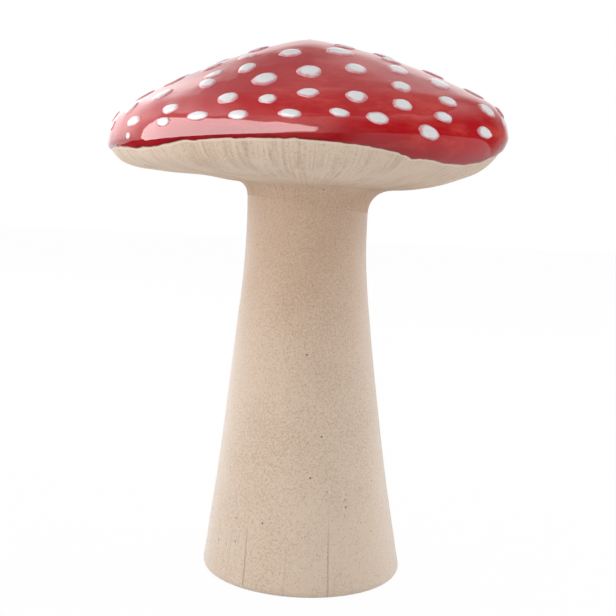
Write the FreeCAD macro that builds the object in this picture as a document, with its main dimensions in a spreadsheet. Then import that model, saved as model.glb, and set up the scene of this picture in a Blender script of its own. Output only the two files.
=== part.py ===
import FreeCAD, Part
import Sketcher
import math
import os

# A hollow ceramic mushroom ornament: a leaning cast stem, a cap made of an underside and a dome,
# a red glaze coat that laps the rim and sags at one side, and raised glaze dots.
# Part frame: Z up from the foot, X to the right, the viewer on the -Y side, millimetres.

V = FreeCAD.Vector
SHEET = "Sizes"
FULL_TURN = 360

# Places in a sketch: its two axes, with the origin at the start of the first, and the start,
# end and centre of a line or an arc.
H_AXIS, V_AXIS = range(-1, -3, -1)
ORIGIN = H_AXIS
START, END, CENTRE = range(1, 4)

doc = FreeCAD.newDocument("MushroomOrnament")
os.makedirs("parts", exist_ok=True)

SIZES = (
    ("foot_rad", 38.9, "stem radius at the foot"),
    ("foot_round", 3.0, "rounding of the foot's edge"),
    ("foot_shift", 4.3, "how far the foot stands to the right of the cap's middle"),
    ("neck_rad", 23.3, "stem radius under the cap"),
    ("seat_high", 149.1, "height of the shoulder that carries the cap"),
    ("stem_wall", 6.0, "cast wall of the stem"),
    ("foot_floor", 7.0, "floor of the stem's hollow"),
    ("pour_rad", 10.0, "pour and vent hole in the foot"),
    ("shoulder", 3.0, "ledge of the neck, round the spigot, that carries the cap"),
    ("spigot_high", 6.0, "height of the spigot over the shoulder"),
    ("neck_fillet", 6.0, "joining slip wiped into the neck corner"),
    ("cap_rad", 74.3, "unglazed radius of the cap at its rim"),
    ("cap_deep", 16.2, "depth of the underside below the rim's middle"),
    ("dome_high", 37.4, "unglazed height of the dome above the rim's middle"),
    ("crown_rad", 31.2, "arc over the top of the dome"),
    ("flank_rad", 228.2, "arc down the dome's flank"),
    ("nose_rad", 15.0, "arc round the rim"),
    ("dome_tilt", 3.2, "tilt of the dome, right side up, in degrees"),
    ("cap_wall", 4.6, "cast wall of the dome and of the underside"),
    ("slip_thick", 0.9, "layer of joining slip in the rim seam"),
    ("glaze_thick", 0.8, "glaze coat"),
    ("lap", 2.3, "how far the coat laps below the rim's widest line"),
    ("sag_deep", 7.3, "how far the coat sags below its lap at the sagging side"),
    ("sag_half", 58.0, "half the width of the sag"),
    ("sag_turn", 46.0, "where the sag hangs, in degrees from the front towards the right"),
    ("dot_rad", 4.0, "foot radius of a full-sized dot"),
    ("dot_high", 0.95, "height of a full-sized dot"),
    ("overrun", 5.0, "how far a cutting shape runs past what it cuts"),
)

# Stem sections at even heights: height as a share of the lofted height, radius as a share of foot_rad,
# shift as a share of foot_shift. The last ring is the neck's.
STEM_SHARES = (
    (0.0, 1.000, 1.00),
    (0.2, 0.897, 0.82),
    (0.4, 0.805, 0.65),
    (0.6, 0.727, 0.47),
    (0.8, 0.650, 0.26),
)
NECK_SHARE = 0.83

# Underside sections at even steps from the rim inwards: radius as a share of cap_rad, drop as a share
# of cap_deep, tilt as a share of dome_tilt, then how much a skin adds to the radius and to the drop.
UNDERSIDE_SHARES = (
    (1.000, 0.000, 1.00, 1.00, 0.00),
    (0.953, 0.375, 0.83, 0.74, 0.68),
    (0.875, 0.620, 0.50, 0.42, 0.91),
    (0.783, 0.740, 0.22, 0.24, 0.97),
    (0.690, 0.830, -0.05, 0.17, 0.98),
    (0.595, 0.890, -0.20, 0.13, 0.99),
    (0.500, 0.945, -0.15, 0.10, 0.99),
    (0.404, 1.000, 0.00, 0.00, 1.00),
)

# Dots: azimuth in degrees from the front towards the right, share of the way from the top of the dome
# down to the rim's widest line, and size as a share of the full dot.
CROWN_DOT_SHARES = (
    (150, 0.05, 0.90),
    (40, 0.24, 0.90), (95, 0.23, 0.85), (165, 0.25, 0.90), (228, 0.24, 0.95), (305, 0.25, 0.85),
    (22, 0.36, 1.00), (350, 0.385, 0.95), (322, 0.40, 0.80), (276, 0.38, 0.95),
    (62, 0.37, 0.85), (122, 0.38, 1.00), (192, 0.37, 0.90), (250, 0.40, 0.80),
)
UPPER_DOT_SHARES = (
    (50, 0.455, 0.90), (308, 0.505, 0.90), (335, 0.570, 0.90), (39, 0.585, 0.95), (71, 0.575, 0.90),
    (19, 0.600, 0.95), (1, 0.635, 1.00), (323, 0.620, 0.80), (296, 0.630, 0.95), (278, 0.560, 0.90),
    (92, 0.500, 0.95), (112, 0.590, 0.90), (140, 0.520, 1.00), (160, 0.620, 0.85), (178, 0.510, 0.95),
    (206, 0.570, 0.95), (228, 0.500, 0.90), (252, 0.590, 1.00),
)
MIDDLE_DOT_SHARES = (
    (346.5, 0.705, 1.00), (50, 0.712, 1.00), (326, 0.713, 0.90), (288, 0.750, 0.90), (29, 0.774, 0.90),
    (311, 0.787, 0.95), (88, 0.700, 0.95), (72, 0.760, 0.90), (105, 0.780, 0.90), (124, 0.700, 1.00),
    (142, 0.770, 0.85), (176, 0.740, 1.00), (194, 0.700, 0.90), (214, 0.760, 0.95), (234, 0.700, 0.90),
    (254, 0.780, 0.90), (270, 0.710, 0.95),
)
LOWER_DOT_SHARES = (
    (0.5, 0.835, 0.95), (339, 0.850, 0.95), (13, 0.855, 0.90), (350, 0.865, 0.75), (41, 0.867, 0.75),
    (321.5, 0.891, 0.90), (25, 0.892, 0.90), (59, 0.895, 0.95), (300, 0.860, 0.85), (280, 0.880, 0.90),
    (78, 0.880, 0.90), (95, 0.900, 0.80), (117, 0.860, 0.95), (134, 0.900, 0.85), (155, 0.870, 0.95),
    (184, 0.880, 0.85), (204, 0.880, 0.95), (224, 0.890, 0.85), (243, 0.870, 0.95), (264, 0.890, 0.80),
)
RIM_DOT_SHARES = (
    (331.5, 0.930, 0.85), (343, 0.932, 0.75), (8, 0.930, 0.80), (356, 0.932, 0.90), (307, 0.933, 0.85),
    (37, 0.942, 0.80), (320.5, 0.945, 0.75), (17.5, 0.950, 0.90), (53.5, 0.983, 0.80), (31.5, 0.995, 0.80),
    (305.5, 0.985, 0.40), (70, 0.945, 0.80), (87, 0.940, 0.85), (106, 0.935, 0.85), (126, 0.945, 0.75),
    (145, 0.935, 0.90), (169, 0.940, 0.85), (193, 0.945, 0.80), (214, 0.935, 0.90), (233, 0.945, 0.75),
    (253, 0.940, 0.85), (272, 0.945, 0.80), (290, 0.935, 0.75),
)
DOT_GROUPS = (
    ("crown_dots", CROWN_DOT_SHARES),
    ("upper_dots", UPPER_DOT_SHARES),
    ("middle_dots", MIDDLE_DOT_SHARES),
    ("lower_dots", LOWER_DOT_SHARES),
    ("rim_dots", RIM_DOT_SHARES),
)


def fill_sheet():
    sheet = doc.addObject("Spreadsheet::Sheet", SHEET)
    for row, (alias, value, note) in enumerate(SIZES, start=1):
        sheet.set(f"A{row}", note)
        sheet.set(f"B{row}", str(value))
        sheet.setAlias(f"B{row}", alias)
    doc.recompute()
    return sheet


def size(alias):
    return float(sheet.get(alias))


def ref(alias):
    return f"{SHEET}.{alias}"


def new_body(label, lift="0"):
    body = doc.addObject("PartDesign::Body", label)
    body.Label = label
    body.setExpression(".Placement.Base.z", lift)
    return body


def new_sketch(body, name, role, shift="0", lift="0", yaw="0", pitch="0"):
    plane = next(item for item in body.Origin.OriginFeatures if item.Role == role)
    sketch = body.newObject("Sketcher::SketchObject", name)
    sketch.AttachmentSupport = [(plane, "")]
    sketch.MapMode = "FlatFace"
    sketch.setExpression(".AttachmentOffset.Base.x", shift)
    sketch.setExpression(".AttachmentOffset.Base.z", lift)
    sketch.setExpression(".AttachmentOffset.Rotation.Yaw", yaw)
    sketch.setExpression(".AttachmentOffset.Rotation.Pitch", pitch)
    return sketch


def fix(sketch, kind, *places):
    return sketch.addConstraint(Sketcher.Constraint(kind, *places))


def bind(sketch, expression, kind, *places):
    sketch.setExpression(f"Constraints[{fix(sketch, kind, *places)}]", expression)


def add_line(sketch, start, end):
    return sketch.addGeometry(Part.LineSegment(V(*start), V(*end)), False)


def add_arc(sketch, centre, radius, start, end):
    circle = Part.Circle(V(*centre), V(0, 0, 1), radius)
    return sketch.addGeometry(Part.ArcOfCircle(circle, start, end), False)


def add_circle(sketch, radius):
    circle = sketch.addGeometry(Part.Circle(V(), V(0, 0, 1), size("neck_rad")), False)
    fix(sketch, "Coincident", circle, CENTRE, ORIGIN, START)
    bind(sketch, radius, "Radius", circle, size("neck_rad"))
    return circle


def ring_sketch(body, name, radius, shift="0", lift="0", pitch="0"):
    sketch = new_sketch(body, name, "XY_Plane", shift, lift, "0", pitch)
    add_circle(sketch, radius)
    return sketch


def add_loft(body, name, kind, rings):
    loft = body.newObject(kind, name)
    loft.Profile = rings[0]
    loft.Sections = rings[1:]
    doc.recompute()
    return loft


def add_pull(body, name, kind, sketch, length, backwards=False):
    before = body.Shape.Volume
    pull = body.newObject(kind, name)
    pull.Profile = sketch
    pull.setExpression(".Length", length)
    pull.Reversed = backwards
    doc.recompute()
    gained = pull.Shape.Volume - before
    if gained == 0 or (gained > 0) != (kind == "PartDesign::Pad"):
        raise RuntimeError(f"{name} points away from its piece")
    return pull


def add_turn(body, name, kind, sketch):
    turn = body.newObject(kind, name)
    turn.Profile = sketch
    turn.ReferenceAxis = (sketch, ["V_Axis"])
    turn.Angle = FULL_TURN
    doc.recompute()
    return turn


# Arcs of the dome over the rim's middle, each as its centre's distance out, its centre's height,
# its radius and the slopes where it starts and ends, grown outwards by a skin.
def dome_arcs(skin):
    crown = size("crown_rad")
    flank = size("flank_rad")
    nose = size("nose_rad")
    out = size("cap_rad") - nose
    up = size("dome_high") - crown
    # The flank arc touches both neighbours inside, so its centre is set by two lengths.
    to_crown = flank - crown
    to_nose = flank - nose
    apart = math.hypot(out, up)
    along = (to_crown ** 2 - to_nose ** 2 + apart ** 2) / (2 * apart)
    aside = math.sqrt(to_crown ** 2 - along ** 2)
    middle_out = (along * out - aside * up) / apart
    middle_up = (-along * up - aside * out) / apart + up
    crown_slope = math.asin(-middle_out / to_crown)
    nose_slope = math.asin((out - middle_out) / to_nose)
    return (
        (0, up, crown + skin, 0, crown_slope),
        (middle_out, middle_up, flank + skin, crown_slope, nose_slope),
        (out, 0, nose + skin, nose_slope, math.pi / 2),
    )


# Half of the dome's section, filled down to the rim's middle plane and closed along the axis.
def dome_sketch(body, name, skin):
    sketch = new_sketch(body, name, "XZ_Plane", "0", "0", ref("dome_tilt"))
    crown, flank, nose = dome_arcs(0)
    arcs = []
    for out, up, radius, top_slope, low_slope in (crown, flank, nose):
        arcs.append(add_arc(sketch, (out, up, 0), radius, math.pi / 2 - low_slope, math.pi / 2 - top_slope))
    over, side, rim = arcs
    floor = add_line(sketch, (size("cap_rad"), 0, 0), (0, 0, 0))
    axis = add_line(sketch, (0, 0, 0), (0, size("dome_high"), 0))
    fix(sketch, "Tangent", rim, END, side, START)
    fix(sketch, "Tangent", side, END, over, START)
    fix(sketch, "PointOnObject", over, CENTRE, V_AXIS)
    fix(sketch, "PointOnObject", rim, CENTRE, H_AXIS)
    fix(sketch, "PointOnObject", rim, START, H_AXIS)
    fix(sketch, "Coincident", floor, START, rim, START)
    fix(sketch, "Coincident", floor, END, ORIGIN, START)
    fix(sketch, "Coincident", axis, START, ORIGIN, START)
    fix(sketch, "Coincident", axis, END, over, END)
    fix(sketch, "Vertical", axis)
    bind(sketch, f"{ref('crown_rad')} + {skin}", "Radius", over, crown[2])
    bind(sketch, f"{ref('flank_rad')} + {skin}", "Radius", side, flank[2])
    bind(sketch, f"{ref('nose_rad')} + {skin}", "Radius", rim, nose[2])
    bind(sketch, f"{ref('cap_rad')} - {ref('nose_rad')}", "DistanceX", ORIGIN, START, rim, CENTRE, nose[0])
    bind(sketch, f"{ref('dome_high')} - {ref('crown_rad')}", "DistanceY", ORIGIN, START, over, CENTRE, crown[1])
    return sketch


def underside_rings(body, name, skin):
    rings = []
    for place, (reach, drop, tilt, out, down) in enumerate(UNDERSIDE_SHARES):
        rings.append(ring_sketch(
            body,
            f"{name}_{place}",
            f"{ref('cap_rad')} * {reach} + ({skin}) * {out}",
            lift=f"-{ref('cap_deep')} * {drop} - ({skin}) * {down}",
            pitch=f"-{ref('dome_tilt')} * {tilt}",
        ))
    return rings


def add_dome(body, name, skin, cut=False):
    kind = "PartDesign::Groove" if cut else "PartDesign::Revolution"
    return add_turn(body, name, kind, dome_sketch(body, f"{name}_sketch", skin))


def add_underside(body, name, skin, cut=False):
    kind = "PartDesign::SubtractiveLoft" if cut else "PartDesign::AdditiveLoft"
    return add_loft(body, name, kind, underside_rings(body, f"{name}_ring", skin))


# The spigot on the stem that plugs into the hole of the underside.
def spigot_rad():
    return f"{ref('neck_rad')} - {ref('shoulder')}"


# The stem: lofted through level rings that lean, hollow, with a vent hole and a spigot on top.
def make_stem():
    body = new_body("stem_shell")
    neck_lift = f"{ref('seat_high')} * {NECK_SHARE}"
    bore = f"{ref('neck_rad')} - {ref('stem_wall')}"
    outer = []
    inner = []
    for place, (rise, reach, lean) in enumerate(STEM_SHARES):
        shift = f"{ref('foot_shift')} * {lean}"
        lift = f"{neck_lift} * {rise}"
        radius = f"{ref('foot_rad')} * {reach}"
        outer.append(ring_sketch(body, f"stem_ring_{place}", radius, shift, lift))
        inner_lift = lift if rise else ref("foot_floor")
        inner.append((f"{radius} - {ref('stem_wall')}", shift, inner_lift))
    outer.append(ring_sketch(body, "stem_ring_neck", ref("neck_rad"), lift=neck_lift))
    add_loft(body, "stem_outside", "PartDesign::AdditiveLoft", outer)
    neck = ring_sketch(body, "neck_ring", ref("neck_rad"), lift=neck_lift)
    add_pull(body, "neck", "PartDesign::Pad", neck, f"{ref('seat_high')} - {neck_lift}")
    spigot = ring_sketch(body, "spigot_ring", spigot_rad(), lift=ref("seat_high"))
    add_pull(body, "spigot", "PartDesign::Pad", spigot, ref("spigot_high"))
    rings = [ring_sketch(body, f"hollow_ring_{place}", *spec) for place, spec in enumerate(inner)]
    rings.append(ring_sketch(body, "hollow_ring_neck", bore, lift=neck_lift))
    add_loft(body, "hollow", "PartDesign::SubtractiveLoft", rings)
    bore_ring = ring_sketch(body, "bore_ring", bore, lift=neck_lift)
    bore_length = f"{ref('seat_high')} - {neck_lift} + {ref('spigot_high')}"
    add_pull(body, "bore", "PartDesign::Pocket", bore_ring, bore_length, backwards=True)
    pour = ring_sketch(body, "pour_ring", ref("pour_rad"), shift=ref("foot_shift"))
    add_pull(body, "pour_hole", "PartDesign::Pocket", pour, ref("foot_floor"), backwards=True)
    foot = body.newObject("PartDesign::Fillet", "foot_edge")
    base = body.Tip if body.Tip != foot else foot.BaseFeature
    foot.Base = (base, [foot_edge_name(base.Shape)])
    foot.setExpression(".Radius", ref("foot_round"))
    doc.recompute()
    return body


def foot_edge_name(shape):
    level = [
        (edge.Length, f"Edge{number}")
        for number, edge in enumerate(shape.Edges, start=1)
        if edge.BoundBox.ZMax < size("foot_round")
    ]
    return max(level)[1]


# A concave ring of joining slip between the neck and the underside.
def make_neck_lute():
    body = new_body("neck_lute", ref("seat_high"))
    sketch = new_sketch(body, "neck_lute_sketch", "XZ_Plane")
    near = size("neck_rad")
    round_rad = size("neck_fillet")
    top = add_line(sketch, (near, 0, 0), (near + round_rad, 0, 0))
    hollow = add_arc(sketch, (near + round_rad, -round_rad, 0), round_rad, math.pi / 2, math.pi)
    side = add_line(sketch, (near, -round_rad, 0), (near, 0, 0))
    fix(sketch, "Coincident", top, END, hollow, START)
    fix(sketch, "Coincident", hollow, END, side, START)
    fix(sketch, "Coincident", side, END, top, START)
    fix(sketch, "Vertical", side)
    fix(sketch, "PointOnObject", top, START, H_AXIS)
    fix(sketch, "PointOnObject", top, END, H_AXIS)
    bind(sketch, ref("neck_rad"), "DistanceX", ORIGIN, START, top, START, near)
    bind(sketch, ref("neck_fillet"), "Radius", hollow, round_rad)
    bind(sketch, ref("neck_fillet"), "DistanceX", top, START, top, END, round_rad)
    bind(sketch, ref("neck_fillet"), "DistanceY", side, START, side, END, round_rad)
    add_turn(body, "neck_lute_turn", "PartDesign::Revolution", sketch)
    return body


def cap_lift():
    return f"{ref('seat_high')} + {ref('cap_deep')}"


def make_underside():
    body = new_body("cap_underside", cap_lift())
    add_underside(body, "outside", "0")
    add_underside(body, "inside", f"-{ref('cap_wall')}", cut=True)
    hole = ring_sketch(body, "spigot_hole_ring", spigot_rad(), lift=f"-{ref('cap_deep')}")
    add_pull(body, "spigot_hole", "PartDesign::Pocket", hole, ref("cap_wall"), backwards=True)
    return body


# A turned slab between two levels of the tilted dome, cut away.
def cut_level_band(body, name, low, high):
    sketch = new_sketch(body, f"{name}_sketch", "XZ_Plane", "0", "0", ref("dome_tilt"))
    reach = size("cap_rad") + size("overrun")
    low_now = size("slip_thick")
    high_now = size("dome_high")
    corners = ((0, low_now, 0), (reach, low_now, 0), (reach, high_now, 0), (0, high_now, 0))
    sides = [add_line(sketch, *pair) for pair in zip(corners, corners[1:] + corners[:1])]
    close_box(sketch, sides)
    fix(sketch, "PointOnObject", sides[0], START, V_AXIS)
    bind(sketch, f"{ref('cap_rad')} + {ref('overrun')}", "DistanceX", sides[0], START, sides[0], END, reach)
    bind(sketch, low, "DistanceY", ORIGIN, START, sides[0], START, low_now)
    bind(sketch, f"{high} - ({low})", "DistanceY", sides[1], START, sides[1], END, high_now - low_now)
    add_turn(body, name, "PartDesign::Groove", sketch)


def close_box(sketch, sides):
    for side, following in zip(sides, sides[1:] + sides[:1]):
        fix(sketch, "Coincident", side, END, following, START)
    for side in sides[0::2]:
        fix(sketch, "Horizontal", side)
    for side in sides[1::2]:
        fix(sketch, "Vertical", side)


# The dome and the slip layer in its seam are one shell, parted at the top of the layer.
def make_shell(label, low, high):
    body = new_body(label, cap_lift())
    add_dome(body, f"{label}_outside", "0")
    add_dome(body, f"{label}_inside", f"-{ref('cap_wall')}", cut=True)
    cut_level_band(body, f"{label}_parting", low, high)
    return body


# The outline below which the coat is cut away on its sagging side: level, then an even sag.
def sag_sketch(body):
    sketch = new_sketch(body, "sag_sketch", "XZ_Plane", "0", "0", ref("dome_tilt"), ref("sag_turn"))
    lap = size("lap")
    half = size("sag_half")
    deep = size("sag_deep")
    radius = (half ** 2 + deep ** 2) / (4 * deep)
    swing = math.asin(half / (2 * radius))
    reach = size("cap_rad") + size("overrun")
    floor = size("cap_deep") + size("overrun")
    up = math.pi / 2
    left = add_line(sketch, (-reach, -lap, 0), (-half, -lap, 0))
    left_bend = add_arc(sketch, (-half, -lap - radius, 0), radius, up - swing, up)
    belly = add_arc(sketch, (0, radius - lap - deep, 0), radius, -up - swing, -up + swing)
    right_bend = add_arc(sketch, (half, -lap - radius, 0), radius, up, up + swing)
    right = add_line(sketch, (half, -lap, 0), (reach, -lap, 0))
    down = add_line(sketch, (reach, -lap, 0), (reach, -floor, 0))
    under = add_line(sketch, (reach, -floor, 0), (-reach, -floor, 0))
    rise = add_line(sketch, (-reach, -floor, 0), (-reach, -lap, 0))
    fix(sketch, "Tangent", left, END, left_bend, END)
    fix(sketch, "Tangent", left_bend, START, belly, START)
    fix(sketch, "Tangent", belly, END, right_bend, END)
    fix(sketch, "Tangent", right_bend, START, right, START)
    for side, following in ((right, down), (down, under), (under, rise), (rise, left)):
        fix(sketch, "Coincident", side, END, following, START)
    for side in (left, right, under):
        fix(sketch, "Horizontal", side)
    fix(sketch, "Vertical", down)
    fix(sketch, "Vertical", rise)
    fix(sketch, "PointOnObject", belly, CENTRE, V_AXIS)
    fix(sketch, "Equal", left_bend, belly)
    fix(sketch, "Equal", right_bend, belly)
    sag_radius = f"({ref('sag_half')} ^ 2 + {ref('sag_deep')} ^ 2) / (4 * {ref('sag_deep')})"
    bind(sketch, sag_radius, "Radius", belly, radius)
    bind(sketch, ref("sag_half"), "DistanceX", left, END, ORIGIN, START, half)
    bind(sketch, ref("sag_half"), "DistanceX", ORIGIN, START, right, START, half)
    bind(sketch, ref("lap"), "DistanceY", left, END, ORIGIN, START, lap)
    bind(sketch, f"{ref('cap_rad')} + {ref('overrun')}", "DistanceX", ORIGIN, START, right, END, reach)
    bind(sketch, f"{ref('cap_rad')} + {ref('overrun')}", "DistanceX", left, START, ORIGIN, START, reach)
    bind(sketch, f"{ref('cap_deep')} + {ref('overrun')}", "DistanceY", under, START, ORIGIN, START, floor)
    return sketch


def level_sketch(body):
    sketch = new_sketch(body, "level_sketch", "XZ_Plane", "0", "0", ref("dome_tilt"), ref("sag_turn"))
    reach = size("cap_rad") + size("overrun")
    floor = size("cap_deep") + size("overrun")
    lap = size("lap")
    corners = ((-reach, -floor, 0), (reach, -floor, 0), (reach, -lap, 0), (-reach, -lap, 0))
    sides = [add_line(sketch, *pair) for pair in zip(corners, corners[1:] + corners[:1])]
    close_box(sketch, sides)
    bind(sketch, f"{ref('cap_rad')} + {ref('overrun')}", "DistanceX", sides[0], START, ORIGIN, START, reach)
    bind(sketch, f"{ref('cap_rad')} + {ref('overrun')}", "DistanceX", ORIGIN, START, sides[0], END, reach)
    bind(sketch, f"{ref('cap_deep')} + {ref('overrun')}", "DistanceY", sides[0], START, ORIGIN, START, floor)
    bind(sketch, ref("lap"), "DistanceY", sides[2], START, ORIGIN, START, lap)
    return sketch


# The filled outer form of the glazed cap, which the dots are trimmed to.
def make_cap_form():
    body = new_body("cap_form", cap_lift())
    add_dome(body, "form_dome", ref("glaze_thick"))
    add_underside(body, "form_underside", ref("glaze_thick"))
    return body


# The coat: the same outer form less the unglazed one, cut level at the back and along the sag in front.
def make_glaze():
    body = new_body("glaze_coat", cap_lift())
    add_dome(body, "coat_dome", ref("glaze_thick"))
    add_underside(body, "coat_underside", ref("glaze_thick"))
    add_dome(body, "coat_hollow", "0", cut=True)
    add_underside(body, "coat_hollow_underside", "0", cut=True)
    reach = f"{ref('cap_rad')} + {ref('overrun')}"
    add_pull(body, "sag_trim", "PartDesign::Pocket", sag_sketch(body), reach, backwards=True)
    add_pull(body, "level_trim", "PartDesign::Pocket", level_sketch(body), reach)
    return body


# A place on the glazed dome: its distance out, its height, its slope and the arc that bends there.
def on_dome(way_share):
    arcs = dome_arcs(size("glaze_thick"))
    lengths = [radius * (low_slope - top_slope) for _, _, radius, top_slope, low_slope in arcs]
    left = way_share * sum(lengths)
    for name, arc, length in zip(("crown_rad", "flank_rad", "nose_rad"), arcs, lengths):
        out, up, radius, top_slope, _ = arc
        if left <= length or name == "nose_rad":
            slope = top_slope + left / radius
            return out + radius * math.sin(slope), up + radius * math.cos(slope), slope, name
        left -= length


# One dot's blank: half a ball whose foot is a dot wide once the dome's bend is allowed for.
def dot_blank(name, azimuth, way_share, size_share):
    out, up, slope, bend = on_dome(way_share)
    turn = math.radians(azimuth)
    tilt = FreeCAD.Rotation(V(0, 1, 0), -size("dome_tilt"))
    around = V(math.sin(turn), -math.cos(turn), 0)
    normal = tilt.multVec(around * math.sin(slope) + V(0, 0, math.cos(slope)))
    place = tilt.multVec(around * out + V(0, 0, up)) + V(0, 0, size("seat_high") + size("cap_deep"))
    foot = f"({ref('dot_rad')} * {size_share})"
    high = f"({ref('dot_high')} * {size_share})"
    bend_rad = f"({ref(bend)} + {ref('glaze_thick')})"
    ball = doc.addObject("Part::Sphere", name)
    ball.setExpression("Radius", f"1 / (2 * {high} / {foot} ^ 2 + 1 / {bend_rad})")
    ball.Angle1 = 0
    doc.recompute([ball])
    sunk = ball.Radius.Value - size("dot_high") * size_share
    ball.Placement = FreeCAD.Placement(place - normal * sunk, FreeCAD.Rotation(V(0, 0, 1), normal))
    return ball


def make_dots(label, shares, form):
    blanks = [dot_blank(f"{label}_blank_{place}", *share) for place, share in enumerate(shares)]
    group = doc.addObject("Part::Compound", f"{label}_blanks")
    group.Links = blanks
    dots = doc.addObject("Part::Cut", label)
    dots.Label = label
    dots.Base = group
    dots.Tool = form
    doc.recompute()
    return dots


def check_document():
    for item in doc.Objects:
        if {"Invalid", "Error"} & set(item.State):
            raise RuntimeError(f"{item.Name} failed: {item.State}")


def write_piece(piece, solids):
    shape = piece.Shape
    if shape.isNull() or not shape.isValid() or len(shape.Solids) != solids:
        raise RuntimeError(f"{piece.Label} has {len(shape.Solids)} solids, {solids} expected")
    shape.exportStep(f"parts/{piece.Label}.step")


sheet = fill_sheet()
pieces = [
    (make_stem(), 1),
    (make_neck_lute(), 1),
    (make_underside(), 1),
    (make_shell("rim_lute", ref("slip_thick"), f"{ref('dome_high')} + {ref('overrun')}"), 1),
    (make_shell("cap_dome", f"-{ref('overrun')}", ref("slip_thick")), 1),
    (make_glaze(), 1),
]
cap_form = make_cap_form()
pieces += [(make_dots(label, shares, cap_form), len(shares)) for label, shares in DOT_GROUPS]
doc.recompute()
check_document()
for piece, solids in pieces:
    write_piece(piece, solids)
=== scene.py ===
import math

import bmesh
import bpy
from mathutils import Matrix, Vector, kdtree, noise


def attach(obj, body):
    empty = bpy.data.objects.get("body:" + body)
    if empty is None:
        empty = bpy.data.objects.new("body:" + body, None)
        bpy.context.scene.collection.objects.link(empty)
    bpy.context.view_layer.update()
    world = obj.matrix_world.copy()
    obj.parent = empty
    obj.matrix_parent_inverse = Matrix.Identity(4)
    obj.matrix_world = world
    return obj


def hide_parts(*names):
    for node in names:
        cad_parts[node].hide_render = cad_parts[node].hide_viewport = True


# A hollow ceramic mushroom ornament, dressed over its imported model. The mushroom stands on the level
# z = 0, X is to the right, the viewer is on the -Y side. Lengths are written in millimetres.

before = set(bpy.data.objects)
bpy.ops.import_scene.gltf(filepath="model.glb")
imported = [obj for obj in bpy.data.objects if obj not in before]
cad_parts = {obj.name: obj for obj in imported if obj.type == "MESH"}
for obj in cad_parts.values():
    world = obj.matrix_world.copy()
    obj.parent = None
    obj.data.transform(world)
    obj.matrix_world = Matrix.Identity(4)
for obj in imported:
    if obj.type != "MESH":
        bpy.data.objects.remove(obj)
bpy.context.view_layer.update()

MM = 0.001
COLUMNS = 144
SHARP_ANGLE = 50

# Stem: height of a ring, its radius and how far it stands to the right of the cap's middle.
STEM_RINGS = (
    (0, 38.7, 4.5), (8, 37.4, 4.3), (20, 35.6, 3.8), (34, 33.4, 3.3), (50, 31.2, 2.8),
    (66, 29.2, 2.3), (82, 27.3, 1.8), (98, 25.5, 1.4), (112, 24.0, 1.2), (124, 23.2, 1.0),
    (136, 23.0, 1.0), (149.1, 23.2, 0.9),
)
STEM_ROW = 3
STEM_WALL = 6
SHOULDER_HIGH = 149.1
SPIGOT_RAD = 20.3
SPIGOT_HIGH = 6
SPIGOT_GAP = 0.1

# Foot: the rounded outer edge, the vent hole, and the floor and rows of the hollow over it.
FOOT_ROUND = 3.2
POUR_RAD = 10
HOLLOW_FLOOR = 7
HOLLOW_ROW = 12

# Neck slip: how far it is spread from the corner, and how much more of that lies on the right.
NECK_SPREAD = 7
NECK_ASIDE = 1.7

# Cap: the rim's middle, the dome's tilt with its right side up, and the arcs of the unglazed dome.
RIM_HIGH = 165.3
DOME_TILT = 3.2
CAP_RAD = 74.3
DOME_HIGH = 37.4
CROWN_RAD = 31.2
FLANK_RAD = 228.2
NOSE_RAD = 15
CAP_DEEP = 16.2
CAP_WALL = 4.6
GLAZE_THICK = 0.8

# Underside rings at even steps from above the rim inwards: radius as a share of the cap's radius, drop
# as a share of its depth, tilt as a share of the dome's, and what a skin adds to radius and to drop.
UNDERSIDE_RINGS = (
    (0.983, -0.360, 1.00, 1.00, 0.00),
    (1.000, 0.000, 1.00, 1.00, 0.00),
    (0.953, 0.375, 0.83, 0.74, 0.68),
    (0.875, 0.620, 0.50, 0.42, 0.91),
    (0.783, 0.740, 0.22, 0.24, 0.97),
    (0.690, 0.835, -0.08, 0.17, 0.98),
    (0.595, 0.890, -0.38, 0.13, 0.99),
    (0.500, 0.940, -0.55, 0.10, 0.99),
    (0.404, 0.985, -0.45, 0.00, 1.00),
)
UNDERSIDE_STEP = 7.6

# The coat's lower edge: azimuth from the front towards the right, and how far below the widest line.
COAT_EDGE = (
    (-180, 2.4), (-140, 2.0), (-110, 2.6), (-90, 1.9), (-74, 1.7), (-57, 2.4), (-46, 2.9), (-34, 1.6),
    (-17, 1.3), (-2, 2.0), (9.5, 3.3), (16, 4.1), (25, 6.6), (33, 8.1), (43, 9.3), (51, 9.6), (57, 9.4),
    (62, 8.6), (68, 7.0), (78, 4.9), (84, 3.2), (100, 2.2), (125, 2.8), (150, 2.1), (180, 2.4),
)

# Coat rows: the spacing down the flank, the finer rows round the nose, the skirt that is laid on the
# underside, and the width of the bead along the edge.
FLANK_ROW = 2
NOSE_WAY = 18
NOSE_ROWS = 18
SKIRT_ROWS = 12
EDGE_BEAD = 1.3

# How far the coat swells round a dot, and how high.
SWELL_REACH = 3.2
SWELL_HIGH = 0.10

# A dot as laid down: its columns, its height, and its mound from the foot up as widths and heights.
DOT_NODES = ("crown_dots", "upper_dots", "middle_dots", "lower_dots", "rim_dots")
DOT_COLUMNS = 28
DOT_HIGH = 0.87
DOT_MOUND = (
    (1, -0.35), (1, 0), (0.975, 0.17), (0.9, 0.4), (0.77, 0.64), (0.59, 0.83), (0.36, 0.95), (0.14, 1),
)

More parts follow.
